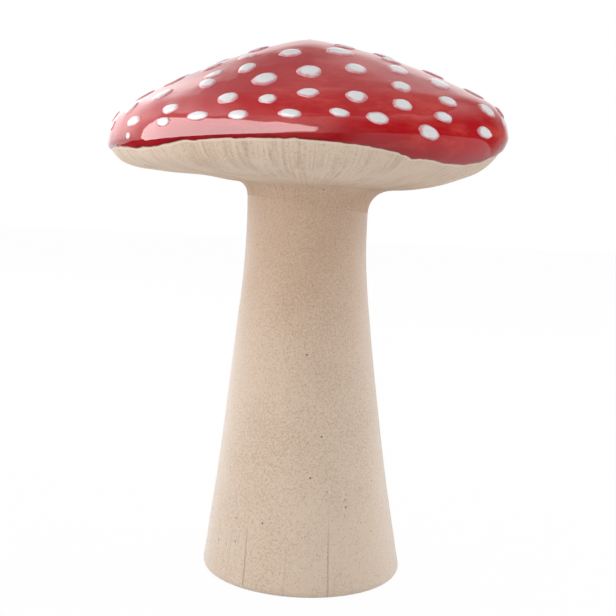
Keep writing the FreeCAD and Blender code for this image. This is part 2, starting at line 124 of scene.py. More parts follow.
# Dots that face the viewer: azimuth, share of the way down the dome, half width, half length and turn.
# A model dot takes the row that lies within the two nearness values of it.
NEAR_AZIMUTH = 3
NEAR_SHARE = 0.025
FRONT_DOTS = (
    (21.8, 0.361, 4.7, 6.2, 0), (-9.6, 0.386, 4.1, 5.6, -8), (-24.7, 0.570, 3.1, 5.4, -19),
    (38.7, 0.588, 3.7, 6.0, 36), (19.2, 0.599, 3.8, 5.3, 9), (0.8, 0.637, 4.1, 6.0, 0),
    (-13.4, 0.705, 4.2, 5.8, -13), (50.0, 0.712, 4.1, 7.2, 50), (-34.0, 0.713, 3.2, 4.9, -37),
    (28.8, 0.774, 3.4, 4.8, 24), (0.6, 0.831, 3.7, 2.8, 2), (-21.2, 0.845, 3.8, 2.9, -6),
    (13.1, 0.852, 3.6, 3.0, 15), (-10.1, 0.861, 3.0, 2.2, -4), (40.7, 0.867, 4.2, 2.6, 4),
    (-38.5, 0.891, 3.8, 2.1, -7), (25.3, 0.892, 3.8, 2.5, 11), (58.9, 0.895, 5.8, 2.7, 11),
    (-28.4, 0.929, 4.0, 1.8, -1), (-17.1, 0.929, 3.5, 1.8, -3), (8.3, 0.930, 3.5, 1.7, 10),
    (-3.7, 0.932, 4.0, 1.8, 2), (-52.9, 0.933, 4.6, 2.1, -8), (37.0, 0.942, 4.0, 1.9, 12),
    (-39.5, 0.944, 3.3, 1.7, -1), (17.4, 0.951, 3.9, 2.2, 8), (53.8, 0.983, 5.4, 2.0, 10),
    (-54.3, 0.984, 1.5, 1.3, 0), (31.4, 0.999, 4.7, 2.1, 23),
)


def along_table(rows, place):
    """A row of a table at a place between its rows, on a smooth curve through them."""
    last = len(rows) - 1
    row = min(max(int(math.floor(place)), 0), last - 1)
    part = place - row
    before, start, end, after = (rows[min(max(row + step, 0), last)] for step in (-1, 0, 1, 2))
    values = []
    for p, q, r, s in zip(before, start, end, after):
        bend = 2 * p - 5 * q + 4 * r - s + part * (3 * (q - r) + s - p)
        values.append(q + 0.5 * part * (r - p + part * bend))
    return values


def dome_arcs(skin):
    """Arcs of the dome: centre's distance out, centre's height, radius, and its first and last slope."""
    out = CAP_RAD - NOSE_RAD
    up = DOME_HIGH - CROWN_RAD
    apart = math.hypot(out, up)
    to_crown = FLANK_RAD - CROWN_RAD
    to_nose = FLANK_RAD - NOSE_RAD
    along = (to_crown ** 2 - to_nose ** 2 + apart ** 2) / (2 * apart)
    aside = math.sqrt(to_crown ** 2 - along ** 2)
    middle_out = (along * out - aside * up) / apart
    middle_up = (-along * up - aside * out) / apart + up
    crown_slope = math.asin(-middle_out / to_crown)
    nose_slope = math.asin((out - middle_out) / to_nose)
    return (
        (0, up, CROWN_RAD + skin, 0, crown_slope),
        (middle_out, middle_up, FLANK_RAD + skin, crown_slope, nose_slope),
        (out, 0, NOSE_RAD + skin, nose_slope, math.pi / 2),
    )


GLAZED_ARCS = dome_arcs(GLAZE_THICK)
GLAZED_WAY = sum(radius * (low - top) for _, _, radius, top, low in GLAZED_ARCS)


def dome_section(way):
    """Distance out, height and slope of the glazed dome at a way in millimetres from its top."""
    for out, up, radius, top, low in GLAZED_ARCS:
        length = radius * (low - top)
        if way <= length or radius == NOSE_RAD + GLAZE_THICK:
            slope = top + way / radius
            return out + radius * math.sin(slope), up + radius * math.cos(slope), slope
        way -= length


def underside_point(step, azimuth, skin):
    """A point of the underside, some steps in from the rim's widest line, in millimetres."""
    reach, drop, tilt, out, down = along_table(UNDERSIDE_RINGS, step + 1)
    radius = CAP_RAD * reach + skin * out
    lean = math.radians(DOME_TILT * tilt)
    side = radius * math.sin(azimuth)
    return Vector((
        side * math.cos(lean),
        -radius * math.cos(azimuth),
        RIM_HIGH - CAP_DEEP * drop - skin * down + side * math.sin(lean),
    ))


TILT_UP = Matrix.Rotation(-math.radians(DOME_TILT), 3, "Y")


def coat_point(way, azimuth, lift):
    """A point over the coat: a way from the top of the dome, past the widest line on the underside."""
    if way <= GLAZED_WAY:
        out, up, slope = dome_section(way)
        out += lift * math.sin(slope)
        up += lift * math.cos(slope)
        place = TILT_UP @ Vector((out * math.sin(azimuth), -out * math.cos(azimuth), up))
        return place + Vector((0, 0, RIM_HIGH))
    return underside_point((way - GLAZED_WAY) / UNDERSIDE_STEP, azimuth, GLAZE_THICK + lift)


def seen_from_dome(point):
    """A point from the middle of the dome's tilted widest line, with the dome's axis upright."""
    return TILT_UP.inverted() @ (point - Vector((0, 0, RIM_HIGH)))


def new_ring(name, radius, lean, height, tilt=0, columns=COLUMNS):
    """Adds the first ring of a turned piece and leaves it open in edit mode."""
    bpy.ops.object.select_all(action="DESELECT")
    middle = Vector((lean, 0, height)) * MM
    bpy.ops.mesh.primitive_circle_add(vertices=columns, radius=radius * MM, location=middle)
    piece = bpy.context.object
    piece.name = name
    bpy.ops.object.mode_set(mode="EDIT")
    bpy.ops.mesh.select_all(action="SELECT")
    if tilt:
        bpy.ops.transform.rotate(value=math.radians(tilt), orient_axis="Y", center_override=middle)
    return piece


def next_ring(last, ring):
    """Extrudes the open edge to the next ring: radius, lean, height and tilt."""
    radius, lean, height, tilt = last
    new_radius, new_lean, new_height, new_tilt = ring
    shift = Vector((new_lean - lean, 0, new_height - height)) * MM
    middle = Vector((new_lean, 0, new_height)) * MM
    grow = new_radius / radius
    bpy.ops.mesh.extrude_region_move(TRANSFORM_OT_translate={"value": shift})
    bpy.ops.transform.resize(value=(grow, grow, grow), center_override=middle)
    if new_tilt != tilt:
        turn = math.radians(new_tilt - tilt)
        bpy.ops.transform.rotate(value=turn, orient_axis="Y", center_override=middle)


def turned_piece(name, rings):
    """A hollow piece raised ring by ring, which ends on its first ring."""
    piece = new_ring(name, *rings[0])
    for last, ring in zip(rings, rings[1:]):
        next_ring(last, ring)
    bpy.ops.mesh.select_all(action="SELECT")
    bpy.ops.mesh.remove_doubles(threshold=0.01 * MM)
    bpy.ops.mesh.normals_make_consistent(inside=False)
    bpy.ops.object.mode_set(mode="OBJECT")
    bpy.ops.object.transform_apply(location=True, rotation=True, scale=True)
    bpy.ops.object.shade_smooth_by_angle(angle=math.radians(SHARP_ANGLE))
    return piece


def stem_ring(height):
    """Radius and lean of the stem's outside at a height."""
    for row, (low, high) in enumerate(zip(STEM_RINGS, STEM_RINGS[1:])):
        if height <= high[0]:
            part = (height - low[0]) / (high[0] - low[0])
            _, radius, lean = along_table(STEM_RINGS, row + part)
            return radius, lean
    return STEM_RINGS[-1][1:]


def make_stem():
    """The stem: up from the vent hole in the foot, over the shoulder and spigot, and down the hollow."""
    foot_lean = STEM_RINGS[0][2]
    rings = [(POUR_RAD, foot_lean, HOLLOW_FLOOR, 0), (POUR_RAD, foot_lean, 1, 0)]
    rings += [(POUR_RAD + 0.3, foot_lean, 0.3, 0), (POUR_RAD + 1, foot_lean, 0, 0)]
    rings += [(POUR_RAD + 8, foot_lean, 0, 0), (POUR_RAD + 17, foot_lean, 0, 0)]
    for turn in range(0, 91, 15):
        rise = FOOT_ROUND * (1 - math.cos(math.radians(turn)))
        radius, lean = stem_ring(rise)
        rings.append((radius - FOOT_ROUND * (1 - math.sin(math.radians(turn))), lean, rise, 0))
    height = FOOT_ROUND + STEM_ROW
    while height < SHOULDER_HIGH - 1:
        rings.append((*stem_ring(height), height, 0))
        height += STEM_ROW
    top = SHOULDER_HIGH + SPIGOT_HIGH
    bore = STEM_RINGS[-1][1] - STEM_WALL
    rings.append((*stem_ring(SHOULDER_HIGH), SHOULDER_HIGH, 0))
    rings += [(SPIGOT_RAD, 0, SHOULDER_HIGH, 0), (SPIGOT_RAD, 0, top, 0), (bore, 0, top, 0)]
    height = SHOULDER_HIGH
    while height > HOLLOW_FLOOR:
        radius, lean = stem_ring(height)
        rings.append((radius - STEM_WALL, lean, height, 0))
        height -= HOLLOW_ROW
    radius, lean = stem_ring(HOLLOW_FLOOR)
    rings += [(radius - STEM_WALL, lean, HOLLOW_FLOOR, 0), (POUR_RAD, foot_lean, HOLLOW_FLOOR, 0)]
    return turned_piece("bisque_stem", rings)


def underside_ring(step, skin):
    """A ring of the underside, some steps in from the rim's widest line."""
    reach, drop, tilt, out, down = along_table(UNDERSIDE_RINGS, step + 1)
    return CAP_RAD * reach + skin * out, 0, RIM_HIGH - CAP_DEEP * drop - skin * down, DOME_TILT * tilt


def make_underside():
    """The dish under the cap, with the hole that sits over the stem's spigot."""
    inner_steps = len(UNDERSIDE_RINGS) - 2
    hole_rad = SPIGOT_RAD + SPIGOT_GAP
    hole_low = (hole_rad, 0, RIM_HIGH - CAP_DEEP, 0)
    hole_high = (hole_rad, 0, RIM_HIGH - CAP_DEEP + CAP_WALL, 0)
    rings = [hole_low]
    rings += [underside_ring(step / 4, 0) for step in range(4 * inner_steps, -1, -1)]
    rings += [underside_ring(step / 2, -CAP_WALL) for step in range(0, 2 * inner_steps + 1)]
    rings += [hole_high, hole_low]
    underside = turned_piece("gilled_underside", rings)
    below = [below_edge(vertex.co / MM) for vertex in underside.data.vertices]
    underside.data.attributes.new("below_edge", "FLOAT", "POINT").data.foreach_set("value", below)
    return underside


def make_neck_lute():
    """Joining slip wiped round the neck: a hollow fillet, tight on the left and broad on the right."""
    near = STEM_RINGS[-1][1]
    lean = STEM_RINGS[-1][2]
    rings = [(near - 0.8, lean, SHOULDER_HIGH - 1.2, 0)]
    for turn in range(0, 91, 10):
        swing = math.radians(turn)
        rings.append((near + 1 - math.cos(swing), lean, SHOULDER_HIGH - 1 + math.sin(swing), 0))
    rings += [(near + 0.9, lean, SHOULDER_HIGH + 0.6, 0), (near - 0.8, lean, SHOULDER_HIGH + 0.6, 0)]
    rings.append(rings[0])
    lute = turned_piece("neck_joint", rings)
    for vertex in lute.data.vertices:
        point = vertex.co / MM - Vector((lean, 0, 0))
        azimuth = math.atan2(point.x, -point.y)
        reach = NECK_SPREAD + NECK_ASIDE * math.sin(azimuth)
        out = point.xy.length - near
        depth = SHOULDER_HIGH - point.z
        new_out = near - 0.06 + out * reach if out > -0.5 else near - 1.5
        step = min(7 - (new_out - 30) / 7.1, 7)
        under = underside_point(step, azimuth, 0).z
        new_high = under - depth * reach if depth > -0.3 else under + 2
        side, ahead = new_out * math.sin(azimuth), -new_out * math.cos(azimuth)
        vertex.co = Vector((lean + side, ahead, new_high)) * MM
    return lute


def edge_drop(azimuth):
    """How far the coat's edge hangs below the widest line, with the small waves of a brushed edge."""
    degrees = math.degrees(azimuth)
    for row, (low, high) in enumerate(zip(COAT_EDGE, COAT_EDGE[1:])):
        if degrees <= high[0]:
            part = (degrees - low[0]) / (high[0] - low[0])
            drop = along_table(COAT_EDGE, row + part)[1]
            break
    around = Vector((math.sin(azimuth), math.cos(azimuth), 0))
    wave = noise.noise(around * 9) * 0.5 + noise.noise(around * 27) * 0.4
    return drop + wave


def below_edge(point):
    """How far a point of the underside lies below the coat's edge."""
    local = seen_from_dome(point)
    return -local.z - edge_drop(math.atan2(local.x, -local.y))


def edge_step(azimuth):
    """How many underside steps in from the widest line the coat's edge lies."""
    low, high = 0, 3
    drop = -edge_drop(azimuth)
    for _ in range(24):
        middle = (low + high) / 2
        if seen_from_dome(underside_point(middle, azimuth, 0)).z > drop:
            low = middle
        else:
            high = middle
    return low


def swell_round_dots(coat, seats):
    """Lifts the coat a little round each dot, as wet glaze creeps up to it."""
    tree = kdtree.KDTree(len(seats))
    for number, (azimuth, way, _) in enumerate(seats):
        tree.insert(coat_point(way, azimuth, 0), number)
    tree.balance()
    normals = [vertex.normal.copy() for vertex in coat.data.vertices]
    for vertex, normal in zip(coat.data.vertices, normals):
        _, number, away = tree.find(vertex.co / MM)
        left = (away - seats[number][2]) / SWELL_REACH
        if left < 1:
            lift = SWELL_HIGH * (1 - max(left, 0) ** 2) ** 2
            vertex.co += normal * lift * MM


def make_coat(seats):
    """The red coat, raised down from the dome's top. Its skirt is then laid on the underside."""
    ways = [0.6 + 0.25 * (n ** 1.5) for n in range(0, 10)]
    while ways[-1] < GLAZED_WAY - NOSE_WAY:
        ways.append(ways[-1] + FLANK_ROW)
    start = ways[-1]
    ways += [start + (GLAZED_WAY - start) * n / NOSE_ROWS for n in range(1, NOSE_ROWS + 1)]
    rings = []
    for way in ways:
        out, up, _ = dome_section(way)
        middle = TILT_UP @ Vector((0, 0, up))
        rings.append((out, middle.x, RIM_HIGH + middle.z, DOME_TILT))
    out, lean, height, _ = rings[-1]
    for row in range(1, SKIRT_ROWS + 1):
        rings.append((out, lean, height - row, DOME_TILT))
    coat = new_ring("red_coat", *rings[0], columns=2 * COLUMNS)
    bpy.ops.mesh.edge_face_add()
    bpy.ops.mesh.poke()
    bpy.ops.mesh.select_all(action="SELECT")
    bpy.ops.mesh.region_to_loop()
    for last, ring in zip(rings, rings[1:]):
        next_ring(last, ring)
    bpy.ops.mesh.select_all(action="SELECT")
    bpy.ops.mesh.normals_make_consistent(inside=False)
    bpy.ops.object.mode_set(mode="OBJECT")
    bpy.ops.object.transform_apply(location=True, rotation=True, scale=True)
    thick = coat.vertex_groups.new(name="coat_thickness")
    ways_left = []
    for vertex in coat.data.vertices:
        point = vertex.co / MM
        share = 1
        local = seen_from_dome(point)
        azimuth = math.atan2(local.x, -local.y)
        end = edge_step(azimuth) if local.z < 12 else 1
        left = end * UNDERSIDE_STEP + local.z
        if local.z < -0.3:
            row = round(-local.z)
            step = end * math.sin(row / SKIRT_ROWS * math.pi / 2)
            left = (end - step) * UNDERSIDE_STEP
            if left < EDGE_BEAD:
                share = math.sqrt(max(1 - (1 - left / EDGE_BEAD) ** 2, 0.0025))
            vertex.co = underside_point(step, azimuth, GLAZE_THICK * share) * MM
        thick.add([vertex.index], share, "REPLACE")
        ways_left.append(left)
    coat.data.attributes.new("edge_way", "FLOAT", "POINT").data.foreach_set("value", ways_left)
    coat.data.update()
    swell_round_dots(coat, seats)
    wall = coat.modifiers.new("coat_wall", "SOLIDIFY")
    wall.thickness = GLAZE_THICK * MM
    wall.offset = -1
    wall.vertex_group = "coat_thickness"
    bpy.ops.object.modifier_apply(modifier=wall.name)
    bpy.ops.object.shade_smooth()
    return coat


def islands(node):
    """The points of each separate solid of a model node, from a merged copy of its mesh."""
    mesh = bmesh.new()
    mesh.from_mesh(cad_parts[node].data)
    bmesh.ops.remove_doubles(mesh, verts=mesh.verts, dist=0.001 * MM)
    mesh.verts.index_update()
    taken = set()
    groups = []
    for first in mesh.verts:
        if first.index in taken:
            continue
        taken.add(first.index)
        queue = [first]
        group = []
        while queue:
            vertex = queue.pop()
            group.append(vertex.co.copy())
            for edge in vertex.link_edges:
                other = edge.other_vert(vertex)
                if other.index not in taken:
                    taken.add(other.index)
                    queue.append(other)
        groups.append(group)
    mesh.free()
    return groups


def dot_seat(points):
    """Azimuth, way and radius of a dot from the points of its solid."""
    rim = max((p - q).length for p in points for q in points[::3]) / 2
    middle = sum(points, Vector()) / len(points)
    local = seen_from_dome(middle / MM)
    azimuth = math.atan2(local.x, -local.y)
    out = math.hypot(local.x, local.y)
    best = min(range(0, 1000), key=lambda n: seat_miss(n / 1000 * GLAZED_WAY, out, local.z))
    return azimuth, best / 1000 * GLAZED_WAY, rim / MM


def seat_miss(way, out, up):
    """How far a point of the dome's section lies from a place out and up."""
    section_out, section_up, _ = dome_section(way)
    return math.hypot(section_out - out, section_up - up)


def dot_blank():
    """One glaze dot as it is laid down: a low round mound one unit across and one high."""
    bpy.ops.object.select_all(action="DESELECT")
    bpy.ops.mesh.primitive_circle_add(vertices=DOT_COLUMNS, radius=1)
    blank = bpy.context.object
    blank.name = "dot_blank"
    bpy.ops.object.mode_set(mode="EDIT")
    bpy.ops.mesh.select_all(action="SELECT")
    width, height = DOT_MOUND[0]
    bpy.ops.transform.translate(value=(0, 0, height))
    for new_width, new_height in DOT_MOUND[1:]:
        grow = new_width / width
        rise = (0, 0, new_height - height)
        bpy.ops.mesh.extrude_region_move(TRANSFORM_OT_translate={"value": rise})
        bpy.ops.transform.resize(value=(grow, grow, 1), center_override=(0, 0, new_height))
        width, height = new_width, new_height
    bpy.ops.mesh.edge_face_add()
    bpy.ops.mesh.poke()
    bpy.ops.mesh.select_all(action="DESELECT")
    bpy.ops.object.mode_set(mode="OBJECT")
    for vertex in blank.data.vertices:
        vertex.select = vertex.co.z < -0.3
    bpy.ops.object.mode_set(mode="EDIT")
    bpy.ops.mesh.edge_face_add()
    bpy.ops.mesh.select_all(action="SELECT")
    bpy.ops.mesh.normals_make_consistent(inside=False)
    bpy.ops.object.mode_set(mode="OBJECT")
    bpy.ops.object.shade_smooth()
    return blank


def dot_spread(azimuth, way, rim, slope):
    """Half width, half length and turn of a dot, long on the flank and short on the rim at the back."""
    for degrees, share, wide, long, turn in FRONT_DOTS:
        beside = abs(math.degrees(azimuth) - degrees)
        below = abs(way / GLAZED_WAY - share)
        if beside < NEAR_AZIMUTH and below < NEAR_SHARE:
            return wide, long, math.radians(turn)
    steep = min(max((math.degrees(slope) - 25) / 35, 0), 1)
    return rim, rim * (1.3 - 0.6 * steep), math.radians(20) * math.sin(azimuth) * steep


def lay_dot(blank, name, seat, number):
    """A copy of the blank, made uneven and bent onto the coat at its seat."""
    azimuth, way, rim = seat
    out, _, slope = dome_section(way)
    wide, long, turn = dot_spread(azimuth, way, rim, slope)
    dot = blank.copy()
    dot.data = blank.data.copy()
    dot.name = name
    bpy.context.collection.objects.link(dot)
    seed = Vector((number * 3.7, azimuth * 5, way * 0.3))
    high = DOT_HIGH * math.sqrt(rim / 4)
    rim_share = dot.data.attributes.new("rim_share", "FLOAT", "POINT")
    for vertex in dot.data.vertices:
        across, down, up = -vertex.co.x, vertex.co.y, vertex.co.z
        reach = math.hypot(across, down)
        rim_share.data[vertex.index].value = reach if up > -0.2 else 1.2
        spread = 1 + 0.18 * noise.noise(Vector((across, down, 0)) * 0.9 + seed)
        spread += 0.07 * noise.noise(Vector((across, down, 0)) * 2.6 + seed)
        turned_side = across * wide * math.cos(turn) - down * long * math.sin(turn)
        turned_down = across * wide * math.sin(turn) + down * long * math.cos(turn)
        rise = up - 0.16 * abs(noise.noise(Vector((across, down, 4)) * 1.6 + seed)) * max(up, 0)
        place = coat_point(way + turned_down * spread, azimuth + turned_side * spread / out, rise * high)
        vertex.co = place * MM
    return dot


def make_dots(blank, node, seats):
    """The dots of one model node, laid one by one and joined."""
    dots = [lay_dot(blank, f"{node}_{number}", seat, number) for number, seat in enumerate(seats)]
    bpy.ops.object.select_all(action="DESELECT")
    for dot in dots:
        dot.select_set(True)
    bpy.context.view_layer.objects.active = dots[0]
    bpy.ops.object.join()
    joined = bpy.context.object
    joined.name = f"white_{node}"
    return joined


class Shade:
    """A value or colour in a material. Sums and products of it become Math nodes."""

    def __init__(self, tree, socket):
        self.tree = tree
        self.socket = socket

    def node(self, kind, settings=(), inputs=(), output=0):
        """Adds a node: its settings first, then the values or links of its sockets."""
        added = self.tree.nodes.new(kind)
        for name, value in dict(settings).items():
            setattr(added, name, value)
        for key, value in dict(inputs).items():
            if isinstance(value, Shade):
                self.tree.links.new(value.socket, added.inputs[key])
            else:
                added.inputs[key].default_value = value
        return Shade(self.tree, added.outputs[output])

    def maths(self, operation, *values):
        return self.node("ShaderNodeMath", {"operation": operation}, enumerate(values))

    def vector_maths(self, operation, *values, output=0):
        return self.node("ShaderNodeVectorMath", {"operation": operation}, enumerate(values), output)

    def __add__(self, other):
        return self.maths("ADD", self, other)

    def __radd__(self, other):
        return self.maths("ADD", other, self)

    def __sub__(self, other):
        return self.maths("SUBTRACT", self, other)

    def __rsub__(self, other):
        return self.maths("SUBTRACT", other, self)

    def __mul__(self, other):
        return self.maths("MULTIPLY", self, other)

    def __rmul__(self, other):
        return self.maths("MULTIPLY", other, self)

    def noise(self, scale, detail=3, roughness=0.5):
        inputs = {"Vector": self, "Scale": scale, "Detail": detail, "Roughness": roughness}
        return self.node("ShaderNodeTexNoise", {"noise_dimensions": "3D"}, inputs)

    def between(self, low, high, start=0, end=1):
        """Runs smoothly from start to end while this value runs from low to high."""
        inputs = {"Value": self, "From Min": low, "From Max": high, "To Min": start, "To Max": end}
        return self.node("ShaderNodeMapRange", {"interpolation_type": "SMOOTHSTEP"}, inputs)

    def tint(self, low, high):
        """Runs from one colour to another as this value runs from 0 to 1."""
        return self.node("ShaderNodeMix", {"data_type": "RGBA"}, {0: self, 6: low, 7: high}, 2)


def new_material(name):
    """An empty material: its shader node and its surface's own coordinates."""
    material = bpy.data.materials.new(name)
    material.use_nodes = True
    tree = material.node_tree
    shader = tree.nodes["Principled BSDF"]
    here = tree.nodes.new("ShaderNodeTexCoord")
    return material, shader, Shade(tree, here.outputs["Object"])


def feed(shader, socket, shade):
    """Links a value or colour to a socket of a material's shader."""
    shade.tree.links.new(shade.socket, shader.inputs[socket])


def add_relief(shader, shade, distance, strength):
    """Relief so many millimetres deep in the shading alone."""
    inputs = {"Strength": strength, "Distance": distance * MM, "Height": shade}
    feed(shader, "Normal", shade.node("ShaderNodeBump", {}, inputs))


# Colours of the clay with its painted shade under the cap, of the red glaze with its painted shade on the
# nose, and of the white glaze.
SAND = (0.54, 0.39, 0.28, 1)
PALE_SAND = (0.71, 0.57, 0.45, 1)
# Painted shade: the darker, warmer tone of the stem just under the cap.
UNDER_CAP_SHADE_SAND = (0.47, 0.29, 0.185, 1)
WIPED_SAND = (0.82, 0.66, 0.54, 1)
SPECK = (0.14, 0.08, 0.05, 1)
DUST = (0.36, 0.20, 0.11, 1)
DEEP_RED = (0.49, 0.007, 0.013, 1)
THIN_RED = (0.67, 0.07, 0.055, 1)
# Dark red of glaze pooled at the edge, also used as painted shade on the down-turned nose.
POOLED_AND_SHADED_RED = (0.17, 0.005, 0.010, 1)
MILK = (0.82, 0.82, 0.83, 1)
PINK = (0.64, 0.20, 0.23, 1)

# Cuts in the clay near the foot: azimuth from the front towards the right, slant, top height, depth.
FOOT_CUTS = ((-33, -0.25, 27, 1.0), (15.5, 0.05, 32, 0.8), (-46, 0.1, 24, 0.5), (-9, 0.1, 20, 0.35))


def scaled(vector, amount):
    return vector.node("ShaderNodeVectorMath", {"operation": "SCALE"}, {"Vector": vector, "Scale": amount})


def split_axes(here):
    """The three values of a place."""
    parts = here.node("ShaderNodeSeparateXYZ", {}, {"Vector": here})
    return [Shade(here.tree, socket) for socket in parts.socket.node.outputs]


def gill_scratches(here):
    """Radial scratches: noise that turns quickly round the axis and slowly outwards."""
    flat = here.vector_maths("MULTIPLY", here, (1, 1, 0))
    unit = flat.vector_maths("NORMALIZE", flat)
    out = flat.vector_maths("LENGTH", flat, output=1)
    bent = here.noise(40, 3) * 0.5 + out * 14
    rise = here.node("ShaderNodeCombineXYZ", {}, {"Z": bent})
    coarse = here.vector_maths("ADD", scaled(unit, 12), rise).noise(1.0, 3, 0.6) - 0.5
    finer = here.vector_maths("ADD", scaled(unit, 30), rise).noise(1.0, 3, 0.6) - 0.5
    broken = here.noise(110, 2).between(0.28, 0.6)
    _, _, height = split_axes(here)
    ridges = coarse.maths("ABSOLUTE", coarse).between(0.06, 0.0) * 0.6
    ridges = ridges + finer.maths("ABSOLUTE", finer).between(0.06, 0.0) * 0.6
    return ridges * broken * height.between(0.140, 0.149)


def foot_cuts(here):
    """Thin upright cuts in the clay at the foot, each a little slanted."""
    x, y, z = split_axes(here)
    side = x - STEM_RINGS[0][2] * MM
    angle = side.maths("ARCTAN2", side, 0 - y) + (here.noise(60, 2) - 0.5) * 0.02
    cuts = None
    for azimuth, slant, top, depth in FOOT_CUTS:
        off = angle - math.radians(azimuth) - z * (slant * 4)
        line = off.maths("ABSOLUTE", off).between(0.011, 0.003) * depth
        line = line * z.between(top * MM, top * 0.6 * MM)
        cuts = line if cuts is None else cuts.maths("MAXIMUM", cuts, line)
    return cuts


def bisque_material(name, marks, mark_depth, sheen):
    """Sandy unglazed clay: drift of tone, grain, pinholes and the marks of the tool, paler towards the
    foot, with painted light on the underside and painted shade under the cap.
    """
    material, shader, here = new_material(name)
    drift = here.noise(24, 4)
    grain = here.noise(1500, 4, 0.75)
    fine = here.noise(2600, 2)
    _, _, height = split_axes(here)
    # Paler towards the foot; above the shoulder the clay is drawn paler still, painted light where the
    # floor lights the underside.
    paler_foot_and_painted_underside_light = height.between(0.15, 0.03) * 0.16 + height.between(0.1485, 0.151) * 0.3
    colour = (drift * 0.8 + grain * 2.2 + paler_foot_and_painted_underside_light - 1.0).between(0.2, 0.8).tint(SAND, PALE_SAND)
    # Painted shade: the stem darkens and warms towards the neck, under the cap.
    colour = (height.between(0.05, 0.146) * height.between(0.153, 0.148) * 0.42).tint(colour, UNDER_CAP_SHADE_SAND)
    cell = here.node("ShaderNodeTexVoronoi", {}, {"Vector": here, "Scale": 300})
    pick = here.node("ShaderNodeTexVoronoi", {}, {"Vector": here, "Scale": 300}, 1)
    size = pick.vector_maths("DOT_PRODUCT", pick, (1, 0, 0), output=1)
    pinhole = cell.between(0.15, 0.07) * size.between(0.80, 0.95)
    dust = here.node("ShaderNodeTexVoronoi", {}, {"Vector": here, "Scale": 700}).between(0.24, 0.08)
    marked = marks(here)
    colour = (pinhole * 0.85).tint(colour, SPECK)
    colour = (dust * 0.45 + marked * 0.36).tint(colour, DUST)
    below = here.node("ShaderNodeAttribute", {"attribute_name": "below_edge"}, {}, 2)
    wiped = below.between(0.05, 0.3) * below.between(1.0, 0.5)
    colour = (wiped * 0.8).tint(colour, WIPED_SAND)
    feed(shader, "Base Color", colour)
    shader.inputs["Roughness"].default_value = 0.9
    shader.inputs["Specular IOR Level"].default_value = 0.25
    shader.inputs["Sheen Weight"].default_value = sheen
    shader.inputs["Sheen Roughness"].default_value = 0.5
    relief = grain * 0.7 + fine * 0.3 - pinhole * 1.5 - dust * 0.4 - marked * mark_depth
    add_relief(shader, relief, 0.18, 0.7)
    return material


def red_material():
    """Glossy red glaze, thinner and paler over the flank, deeper where it runs, with painted shade where
    the nose turns down.
    """
    material, shader, here = new_material("red_glaze_coat")
    drift = here.noise(26, 3)
    streak = here.vector_maths("MULTIPLY", here, (1, 1, 3.5)).noise(75, 5, 0.65)
    thin = (drift * 0.6 + streak * 0.6).between(0.54, 0.84)
    colour = thin.tint(DEEP_RED, THIN_RED)
    edge = here.node("ShaderNodeAttribute", {"attribute_name": "edge_way"}, {}, 2)
    # Darker over the lowest nine millimetres of the coat: partly glaze gathered there, partly painted
    # shade where the nose turns down.
    colour = (edge.between(9, 1) * 0.45).tint(colour, POOLED_AND_SHADED_RED)
    pooled = (edge + here.noise(150, 2) * 1.6 - 0.8).between(1.3, 0.2)
    feed(shader, "Base Color", (pooled * 0.7).tint(colour, POOLED_AND_SHADED_RED))
    shader.inputs["Roughness"].default_value = 0.05
    shader.inputs["IOR"].default_value = 1.65
    add_relief(shader, here.noise(70, 2) + here.noise(190, 2) * 0.2, 0.25, 0.3)
    return material


def white_material():
    """Raised white glaze, milky in the middle and pink where it thins at its rim."""
    material, shader, here = new_material("white_glaze_dots")
    rim = here.node("ShaderNodeAttribute", {"attribute_name": "rim_share"}, {}, 2)
    ragged = rim + here.noise(380, 2) * 0.5 - 0.25
    colour = ragged.between(0.55, 1.02).tint(MILK, PINK)
    feed(shader, "Base Color", colour)
    shader.inputs["Roughness"].default_value = 0.09
    add_relief(shader, here.noise(260, 2), 0.2, 0.2)
    return material


def finish_piece(piece, material, node):
    """Gives a piece its material and slot, parents it to the root body and hides its model node."""
    piece.data.materials.clear()
    piece.data.materials.append(material)
    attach(piece, "root")
    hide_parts(node)


bisque = bisque_material("sandy_bisque", foot_cuts, 2.0, 0.85)
gilled = bisque_material("gilled_bisque", gill_scratches, 0.5, 0.1)
red = red_material()
white = white_material()

finish_piece(make_stem(), bisque, "stem_shell")
finish_piece(make_neck_lute(), gilled, "neck_lute")
finish_piece(make_underside(), gilled, "cap_underside")
seats = {node: [dot_seat(points) for points in islands(node)] for node in DOT_NODES}
finish_piece(make_coat(sum(seats.values(), [])), red, "glaze_coat")
blank = dot_blank()
for node in DOT_NODES:
    finish_piece(make_dots(blank, node, seats[node]), white, node)
bpy.data.objects.remove(blank)
for node in ("cap_dome", "rim_lute"):
    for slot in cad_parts[node].material_slots:
        slot.material = bisque


# Studio, in metres: soft panels light the ornament at a plain level. The room that the glaze mirrors is
# made of cards, bright and dark, that nothing but its gloss shows. The floor lies a hair below the foot.
FLOOR_LEVEL = -0.0003
WORLD_LIGHT = 0.67
CARD_SIDES = 72
CEILING_HIGH = 2.6
LEFT_CEILING_HIGH = 2.5


